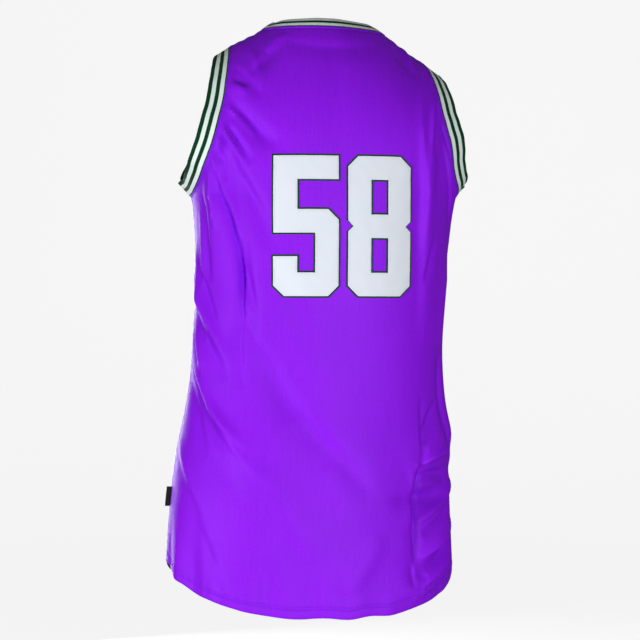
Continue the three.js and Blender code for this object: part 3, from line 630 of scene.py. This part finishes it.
def striped_rib():
    """White rib knit with dark green stripes along it: a ramp across the strip, its edges ruffled by the
    knit, and fine ribs across it in relief"""
    colours = {"green": (0.003, 0.042, 0.013), "white": (0.76, 0.88, 0.83), "purple": (0.2, 0.01, 0.7)}
    stops = [(1 - end / RIB_WIDTH, colours[name]) for end, name in reversed(RIB_STRIPES)]
    dye = Dye("striped_rib", {"Roughness": 0.75, "Specular IOR Level": 0.08, "Sheen Weight": 0.02,
                              "Sheen Roughness": 0.5})
    place = dye.node("UVMap", {"uv_map": "cloth"})
    axes = dye.node("SeparateXYZ", None, {0: place})
    across = Wire(dye, axes.socket.node.outputs[1])
    ribs = (axes * (2 * np.pi / 0.0016) + across * (2 * np.pi / 0.003)).math("SINE") * 0.5 + 0.5
    rows = (across * (2 * np.pi / 0.0011)).math("SINE") * 0.5 + 0.5
    ruffle = (ribs - 0.5) * 0.00035
    stripe = dye.node("ValToRGB", {"stops": stops, "steps": "CONSTANT"},
                      {0: (across + ruffle) / (RIB_WIDTH / 1000)})
    yarn = dye.node("TexNoise", None, {"Vector": place, "Scale": 700.0, "Detail": 2.0})
    shade = ribs * 0.5 + rows * 0.2 + yarn * 0.3
    darker = dye.node("Mix", {"data_type": "RGBA", "blend_type": "MULTIPLY"},
                      {0: 0.35, 6: stripe, 7: dye.mix(shade, (0.45, 0.45, 0.45, 1), (1, 1, 1, 1))}, output=2)
    relief = dye.node("Bump", None, {"Strength": 0.6, "Distance": 0.0003,
                                      "Height": ribs + rows * 0.4 + yarn * 0.3})
    return dye.feed(base_color=darker, normal=relief)


STRIPED_RIB = striped_rib()
ARM_ROWS = np.linspace(1, 2, 90)
for hand, column in (("left", 1.0), ("right", -1.0)):
    arm_front = opening_edge(FRONT, column, ARM_ROWS)
    arm_back = opening_edge(BACK, column, ARM_ROWS)
    both = np.concatenate([arm_front[0], arm_back[0]])
    rib, ring = make_rib(f"armhole_rib_{hand}_knit", arm_front, arm_back,
                         (both.min(0) + both.max(0)) / 2, RIB_LEANS[hand], 180, STRIPED_RIB)
    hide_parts(f"armhole_rib_{hand}")
    ring / 1000


# The neck rib. The same strip in one ring round the neck, stretched over the curve so that it stands up at
# the back of the neck.

NECK_COLUMNS = np.linspace(-NECK_COLUMN, NECK_COLUMN, 141)
neck, ring = make_rib("neck_rib_knit", opening_edge(FRONT, NECK_COLUMNS, 2),
                      opening_edge(BACK, NECK_COLUMNS, 2), np.array([0, -20, 0]), RIB_LEANS["neck"], 220,
                      STRIPED_RIB)
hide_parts("neck_rib")
ring / 1000


# The number. Two digits of white twill, each on a dark green edging cut a little larger, laid on the back and
# stitched down.

DIGIT = {"width": 80, "height": 173, "stroke": 29, "corner": 13, "space": 12, "middle": (-6, -260)}
EDGING = 2.2

# How far from the cloth the back and the face of each layer lie
EDGING_LEVELS = (0.12, 0.75)
DIGIT_LEVELS = (0.8, 1.45)


def digit_five(w, h, t, c):
    """The outline of a block 5 from its lower left corner, as it is read"""
    raised, hook = 6, 20
    top = h / 2 + t / 2 + raised
    return [[(0, h), (w, h), (w, h - t), (t, h - t), (t, top), (w - c, top), (w, top - c), (w, c), (w - c, 0),
             (c, 0), (0, c), (0, t + hook), (t, t + hook), (t, t), (w - t, t), (w - t, top - t),
             (0, top - t)]]


def digit_eight(w, h, t, c):
    """The outline of a block 8 and of its two holes"""
    m, n = h / 2, c / 2
    outline = [(c, 0), (w - c, 0), (w, c), (w, m - n), (w - n, m), (w, m + n), (w, h - c), (w - c, h), (c, h),
               (0, h - c), (0, m + n), (n, m), (0, m - n), (0, c)]
    holes = [[(t, low), (t, high), (w - t, high), (w - t, low)]
             for low, high in ((t, m - t / 2), (m + t / 2, h - t))]
    return [outline, *holes]


def digit_shape(place, more):
    """The first or second digit with its edges moved out by more: its outlines, its width and height, and
    where its lower left corner lies on the back, as a distance to the left and a height"""
    outline_of = (digit_five, digit_eight)[place]
    width, height = DIGIT["width"] + 2 * more, DIGIT["height"] + 2 * more
    stroke, corner = DIGIT["stroke"] + 2 * more, DIGIT["corner"] + (2 - 2 ** 0.5) * more
    first_left = DIGIT["middle"][0] + DIGIT["width"] + DIGIT["space"] / 2
    left = first_left - place * (DIGIT["width"] + DIGIT["space"]) + more
    low = DIGIT["middle"][1] - DIGIT["height"] / 2 - more
    return outline_of(width, height, stroke, corner), (width, height), (left, low)


def inside(outlines, u, v):
    """Whether points lie in an outline and out of its holes: each edge that passes to one side flips it"""
    within = np.zeros(u.shape, bool)
    for outline in outlines:
        for (u0, v0), (u1, v1) in zip(outline, outline[1:] + outline[:1]):
            if v0 != v1:
                crosses = ((v0 > v) != (v1 > v)) & (u < u0 + (v - v0) * (u1 - u0) / (v1 - v0))
                within ^= crosses
    return within


def lines_through(values, step):
    """Grid lines that pass through every one of the values, about a step apart"""
    keys = np.unique(np.round(values, 6))
    parts = [np.linspace(a, b, max(int(round((b - a) / step)), 1), endpoint=False)
             for a, b in zip(keys, keys[1:])]
    return np.append(np.concatenate(parts), keys[-1])


def flat_digit(outlines):
    """A digit as a flat grid of points with its quads, and triangles where a cut corner halves a cell. Each
    cell is looked at near its four sides, and two sides next to each other make half of it."""
    corners = np.array([corner for outline in outlines for corner in outline])
    cell = 3.2
    us, vs = lines_through(corners[:, 0], cell), lines_through(corners[:, 1], cell)
    u, v = np.meshgrid(us, vs)
    at = np.arange(u.size).reshape(u.shape)
    a, b, c, d = at[:-1, :-1].ravel(), at[:-1, 1:].ravel(), at[1:, 1:].ravel(), at[1:, :-1].ravel()
    u, v = u.ravel(), v.ravel()
    mid_u, mid_v = (u[a] + u[c]) / 2, (v[a] + v[c]) / 2
    du, dv = (u[c] - u[a]) / 3, (v[c] - v[a]) / 3
    low, right = inside(outlines, mid_u, mid_v - dv), inside(outlines, mid_u + du, mid_v)
    high, left = inside(outlines, mid_u, mid_v + dv), inside(outlines, mid_u - du, mid_v)
    whole = low & right & high & left
    quads = np.stack([a, b, c, d], -1)[whole]
    halves = [(low & right, (a, b, c)), (right & high, (b, c, d)), (high & left, (c, d, a)),
              (left & low, (d, a, b))]
    triangles = np.concatenate([np.stack(tri, -1)[pair & ~whole] for pair, tri in halves])
    used, back_to = np.unique(np.concatenate([quads.ravel(), triangles.ravel()]), return_inverse=True)
    return (np.stack([u[used], v[used]], -1), back_to[:quads.size].reshape(-1, 4),
            back_to[quads.size:].reshape(-1, 3))


def back_at(x, z):
    """A place on the back by its distance to the left and its height, and the outward direction there, from
    the steps up and across"""
    def smooth(x, z):
        return np.stack([x, SEAM_GAP + cloth_depth(BACK, x, z), z], -1)

    normal = np.cross(smooth(x, z + 1) - smooth(x, z - 1), smooth(x + 1, z) - smooth(x - 1, z))
    normal /= np.linalg.norm(normal, axis=-1, keepdims=True)
    lift = fold_lift(around_body(BACK, x, z), z)
    return smooth(x, z) + normal * lift[..., None], normal


def on_back(flat, corner):
    """Where flat points of a digit come to lie on the back, and the outward directions there. The twill is a
    little wrinkled, as a product of sines that only lifts it."""
    x, z = corner[0] - flat[:, 0], corner[1] + flat[:, 1]
    point, normal = back_at(x, z)
    wrinkles = 1 + np.sin(x / 6 + 2 * np.sin(z / 19)) * np.sin(z / 7 + 2 * np.sin(x / 13))
    return point + normal * (0.22 * wrinkles)[:, None], normal


def make_layer(name, outlines, corner, levels, material):
    """A layer of twill on the back, between two distances from the cloth: its face, its back, and a wall
    along each edge that only one face has. It is read from behind, so its width runs towards the right."""
    flat, quads, triangles = flat_digit(outlines)
    point, normal = on_back(flat, corner)
    inner, outer = levels
    rounded = 0.2
    count = len(flat)
    edges = np.concatenate([np.stack([f, np.roll(f, -1, 1)], -1).reshape(-1, 2) for f in (quads, triangles)])
    keys, turned = edges[:, 0] * count + edges[:, 1], edges[:, 1] * count + edges[:, 0]
    rim = edges[~np.isin(keys, turned)]
    walls = np.stack([rim[:, 1], rim[:, 0], rim[:, 0] + count, rim[:, 1] + count], -1)
    edge = np.zeros(count, bool)
    edge[rim] = True
    top = point + normal * (outer - rounded * edge)[:, None]
    faces = [np.concatenate([quads, quads[:, ::-1] + count, walls]),
             np.concatenate([triangles, triangles[:, ::-1] + count])]
    return add_piece(name, np.concatenate([top, point + normal * inner]), faces, material,
                     np.concatenate([flat, flat]))


def twill(name, dark, light, roughness, relief_strength):
    """Twill: fine diagonal ribs as a sine of the sum of the two distances, with a thread grain"""
    dye = Dye(name, {"Specular IOR Level": 0.12, "Sheen Weight": 0.02, "Sheen Roughness": 0.5})
    place = dye.node("UVMap", {"uv_map": "cloth"})
    axes = dye.node("SeparateXYZ", None, {0: place})
    up = Wire(dye, axes.socket.node.outputs[1])
    ribs = ((axes + up) * (2 * np.pi / 0.0013)).math("SINE") * 0.5 + 0.5
    grain = dye.node("TexNoise", None, {"Vector": place, "Scale": 1100.0, "Detail": 2.0})
    patches = dye.node("TexNoise", None, {"Vector": place, "Scale": 22.0, "Detail": 3.0})
    tone = ribs * 0.4 + grain * 0.3 + patches * 0.3
    relief = dye.node("Bump", None, {"Strength": relief_strength, "Distance": 0.0002,
                                      "Height": ribs + grain * 0.5})
    return dye.feed(base_color=dye.mix(tone, (*dark, 1), (*light, 1)), roughness=roughness + tone * 0.15,
                    normal=relief)


WHITE_TWILL = twill("white_twill", (0.6, 0.64, 0.71), (0.72, 0.75, 0.82), 0.55, 0.35)
GREEN_TWILL = twill("green_twill", (0.002, 0.032, 0.011), (0.005, 0.055, 0.02), 0.5, 0.5)

for place, word in enumerate(("first", "second")):
    for part, more, levels, material, slot in (
        ("edging", EDGING, EDGING_LEVELS, GREEN_TWILL, "number_edging"),
        ("digit", 0, DIGIT_LEVELS, WHITE_TWILL, "number_face"),
    ):
        outlines, (width, height), corner = digit_shape(place, more)
        layer = make_layer(f"number_{word}_{part}_twill", outlines, corner, levels, material)
        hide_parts(f"number_{word}_{part}")
        width / 1000
        height / 1000


def stitches_on(point, normal):
    """Places for stitches 2.6 mm long, 0.5 mm apart, along a line of points: five on each stitch"""
    run = np.concatenate([[0], np.cumsum(np.linalg.norm(np.diff(point, axis=0), axis=1))])
    middle = np.arange(2, run[-1] - 1.5, 3.1)
    places = middle[:, None] + np.array([-1.3, -0.8, 0, 0.8, 1.3])
    return [np.stack([np.interp(places, run, rows[:, i]) for i in range(3)], -1) for rows in (point, normal)]


def add_stitches(name, lines, material):
    """Stitches along several lines in one mesh. Each is a small six-sided spindle, whose sections are
    circles across its line and whose two ends dip into the cloth."""
    at, up = (np.concatenate(rows) for rows in zip(*(stitches_on(*line) for line in lines)))
    aside = np.cross(np.gradient(at, axis=1), up)
    aside /= np.linalg.norm(aside, axis=-1, keepdims=True)
    turn = np.linspace(0, 2 * np.pi, 6, endpoint=False)
    thick = np.array([0.06, 0.26, 0.3, 0.26, 0.06])[None, :, None, None]
    high = np.array([-0.1, 0.14, 0.2, 0.14, -0.1])[None, :, None, None]
    section = (aside[:, :, None] * np.cos(turn)[None, None, :, None]
               + up[:, :, None] * np.sin(turn)[None, None, :, None]) * thick
    points = at[:, :, None] + section + up[:, :, None] * high
    count, rings, sides = points.shape[:3]
    i, j = np.meshgrid(np.arange(rings - 1), np.arange(sides), indexing="ij")
    side = np.stack([i * sides + j, (i + 1) * sides + j, (i + 1) * sides + (j + 1) % sides,
                     i * sides + (j + 1) % sides], -1).reshape(-1, 4)
    cap = np.arange(sides)
    ends = np.stack([cap, cap[::-1] + (rings - 1) * sides])
    first = np.arange(count)[:, None, None] * (rings * sides)
    faces = [(side[None] + first).reshape(-1, 4), (ends[None] + first).reshape(-1, sides)]
    return add_piece(name, points.reshape(-1, 3), faces, material)


def thread(name, dark, light):
    """Sewing thread, a little glossier than the cloth, with its twist as a fine grain"""
    dye = Dye(name, {"Roughness": 0.45, "Specular IOR Level": 0.4})
    grain = dye.node("TexNoise", None, {"Vector": dye.node("TexCoord", output=3), "Scale": 1500.0})
    relief = dye.node("Bump", None, {"Distance": 0.0001, "Height": grain})
    return dye.feed(base_color=dye.mix(grain, (*dark, 1), (*light, 1)), normal=relief)


# How far inside a digit's edge its stitches run
INSET = 1.7


def digit_seams():
    """The lines of stitches round both digits, just inside their edges: each side of an outline drawn in by
    INSET, as rows of points on the face of the twill"""
    lines = []
    for place in range(2):
        outlines, _, corner = digit_shape(place, -INSET)
        for outline in outlines:
            corners = np.array(outline, float)
            for start, end in zip(corners, np.roll(corners, -1, axis=0)):
                flat = start + (end - start) * np.linspace(0, 1, 60)[:, None]
                point, normal = on_back(flat, corner)
                lines.append((point + normal * DIGIT_LEVELS[1], normal))
    return lines


WHITE_THREAD = thread("white_thread", (0.5, 0.54, 0.6), (0.7, 0.72, 0.8))
digit_stitches = add_stitches("number_stitches", digit_seams(), WHITE_THREAD)


# The hem's stitches. Two lines of purple thread, twin-needle sewn through the turned-up edge all round.

def hem_seams():
    """The two lines of stitches on each panel's outer face"""
    fine = np.linspace(-1, 1, 4001)
    return [worn_cloth(panel, fine, np.full(fine.shape, line / (UNDERARM - panel["hem"][0])))
            for panel in (BACK, FRONT) for line in HEM_STITCHES]


PURPLE_THREAD = thread("purple_thread", (0.12, 0.004, 0.45), (0.22, 0.01, 0.75))
hem_stitches = add_stitches("hem_stitches", hem_seams(), PURPLE_THREAD)


# The label in the left side seam. A short woven ribbon, folded once, its two ends caught in the seam. It is
# bare.

LABEL_HEIGHT = 25
LABEL_Z = -602


def label_fold():
    """The ribbon as a ring of points at each height: out from the seam on one face, round the fold and back,
    swung forwards, with its free end bellied a little"""
    out = 6
    side = np.linspace(0, 1, 9)
    loop = np.concatenate([np.stack([side * out, 0.35 + 0.35 * np.sin(np.pi * side)], -1),
                           [(out + 0.4, 0.25), (out + 0.5, 0), (out + 0.4, -0.25)],
                           np.stack([side[::-1] * out, -0.35 - 0.2 * np.sin(np.pi * side[::-1])], -1)])
    inward = np.concatenate([np.stack([side * out, np.full(9, 0.06)], -1),
                             [(out, 0.04), (out, 0), (out, -0.04)],
                             np.stack([side[::-1] * out, np.full(9, -0.06)], -1)])
    z = np.linspace(LABEL_Z - LABEL_HEIGHT / 2, LABEL_Z + LABEL_HEIGHT / 2, 22)
    seam = opening_edge(BACK, 1.0, (z - BACK["hem"][1]) / (UNDERARM - BACK["hem"][1]))[0][:, 0]
    curl = 0.25 * np.cos(np.pi * (z - LABEL_Z) / LABEL_HEIGHT * 2)
    faces = []
    for ring in (loop, inward):
        x = seam[:, None] - 0.2 + ring[None, :, 0]
        y = ring[None, :, 1] - ring[None, :, 0] * 0.45 - curl[:, None] * ring[None, :, 0] / out
        faces.append(np.stack([x, y, np.broadcast_to(z[:, None], x.shape)], -1))
    return faces


def woven_black():
    """Black woven ribbon: a fine plain weave as the product of two sines"""
    dye = Dye("woven_black", {"Roughness": 0.6, "Specular IOR Level": 0.12})
    place = dye.node("UVMap", {"uv_map": "cloth"})
    axes = dye.node("SeparateXYZ", None, {0: place})
    up = Wire(dye, axes.socket.node.outputs[1])
    weave = (axes * (2 * np.pi / 0.0007)).math("SINE") * (up * (2 * np.pi / 0.0007)).math("SINE") * 0.5 + 0.5
    colour = dye.mix(weave, (0.004, 0.004, 0.005, 1), (0.014, 0.014, 0.016, 1))
    return dye.feed(base_color=colour, normal=dye.node("Bump", None, {"Distance": 0.0001, "Height": weave}))


ribbon, lining = label_fold()
far = np.cumsum(np.linalg.norm(np.diff(ribbon[0], axis=0, prepend=ribbon[0, :1]), axis=1))
label_uv = np.stack(np.broadcast_arrays(far[None, :], ribbon[..., 2]), -1)
label = add_piece("side_label_ribbon", np.stack([ribbon, lining]), wall_faces(*ribbon.shape[:2])[:, ::-1],
                  woven_black(), np.stack([label_uv, label_uv]))
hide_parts("side_label")


# The room. A pale round floor that curves up into a pale wall and a ceiling, far enough from the jersey to be
# plain from every side.

FLOOR = -1250
ROOM_RADIUS = 6000
CEILING = 3500


def round_room():
    """The profile of floor, quarter circle, wall, quarter circle and ceiling, carried round the upright
    axis. Its faces look inwards."""
    bend = 1500
    turn = np.linspace(0, np.pi / 2, 16)
    low = np.stack([ROOM_RADIUS - bend + bend * np.sin(turn), FLOOR + bend - bend * np.cos(turn)], -1)
    high = np.stack([low[::-1, 0], CEILING + FLOOR - low[::-1, 1]], -1)
    profile = np.concatenate([[(1, FLOOR)], low, high, [(1, CEILING)]])
    count = 96
    at = np.linspace(0, 2 * np.pi, count, endpoint=False)
    points = np.stack([profile[:, :1] * np.cos(at), profile[:, :1] * np.sin(at),
                       np.broadcast_to(profile[:, 1:], (len(profile), count))], -1)
    i, j = np.meshgrid(np.arange(len(profile) - 1), np.arange(count), indexing="ij")
    faces = np.stack([i * count + j, i * count + (j + 1) % count, (i + 1) * count + (j + 1) % count,
                      (i + 1) * count + j], -1).reshape(-1, 4)
    mesh = bpy.data.meshes.new("room")
    mesh.from_pydata((points.reshape(-1, 3) / 1000).tolist(), [], faces.tolist())
    mesh.shade_smooth()
    return bpy.data.objects.new("room", mesh)


def paper():
    """Pale matt paper with a faint grain, which glows a little so that it stays pale all round"""
    dye = Dye("pale_paper", {"Roughness": 0.9, "Specular IOR Level": 0.1, "Emission Strength": 0.86,
                             "Emission Color": (1, 1, 1, 1)})
    grain = dye.node("TexNoise", None, {"Vector": dye.node("TexCoord", output=3), "Scale": 3.0})
    return dye.feed(base_color=dye.mix(grain, (0.24, 0.24, 0.24, 1), (0.27, 0.27, 0.27, 1)))


room = round_room()
room.data.materials.append(paper())
bpy.context.collection.objects.link(room)

# The room throws no light on the cloth, whose edges would lose their depth
room.visible_diffuse = room.visible_glossy = False


# Camera and light. The camera stands level behind the back, a little round towards the label's side. One soft
# light stands at its left and one close by at its right. A third, beyond the jersey, lights the front.

def look_from(thing, place, target):
    """Turns a camera or a light at place to face target"""
    thing.location = place
    direction = np.array(target) - np.array(place)
    flat = np.hypot(direction[0], direction[1])
    thing.rotation_euler = (np.pi / 2 + np.arctan2(direction[2], flat), 0,
                            np.arctan2(direction[1], direction[0]) - np.pi / 2)
    bpy.context.collection.objects.link(thing)


TARGET = np.array([0.004, 0, -0.376])
lens = bpy.data.cameras.new("camera")
lens.sensor_fit, lens.sensor_width = "HORIZONTAL", 36
lens.lens = 18 / (0.416 / 2.3)
camera = bpy.data.objects.new("camera", lens)
look_from(camera, TARGET + 2.3 * np.array([np.sin(np.radians(171)), -np.cos(np.radians(171)), 0]), TARGET)
bpy.context.scene.camera = camera

for name, place, size, power in (
    ("main_light", (2.33, 1.5, -0.9), 0.65, 56),
    ("right_light", (-0.55, 2.8, -0.75), 1.0, 57),
    ("front_light", (0.7, -2.5, -0.5), 1.6, 55),
):
    lamp = bpy.data.lights.new(name, "AREA")
    lamp.shape, lamp.size, lamp.energy = "DISK", size, power
    look_from(bpy.data.objects.new(name, lamp), place, (0, 0, -0.4))

world = bpy.data.worlds.new("room")
world.use_nodes = True
world.node_tree.nodes["Background"].inputs["Color"].default_value = (1, 1, 1, 1)
world.node_tree.nodes["Background"].inputs["Strength"].default_value = 0.1
bpy.context.scene.world = world
bpy.context.scene.view_settings.view_transform = "Standard"
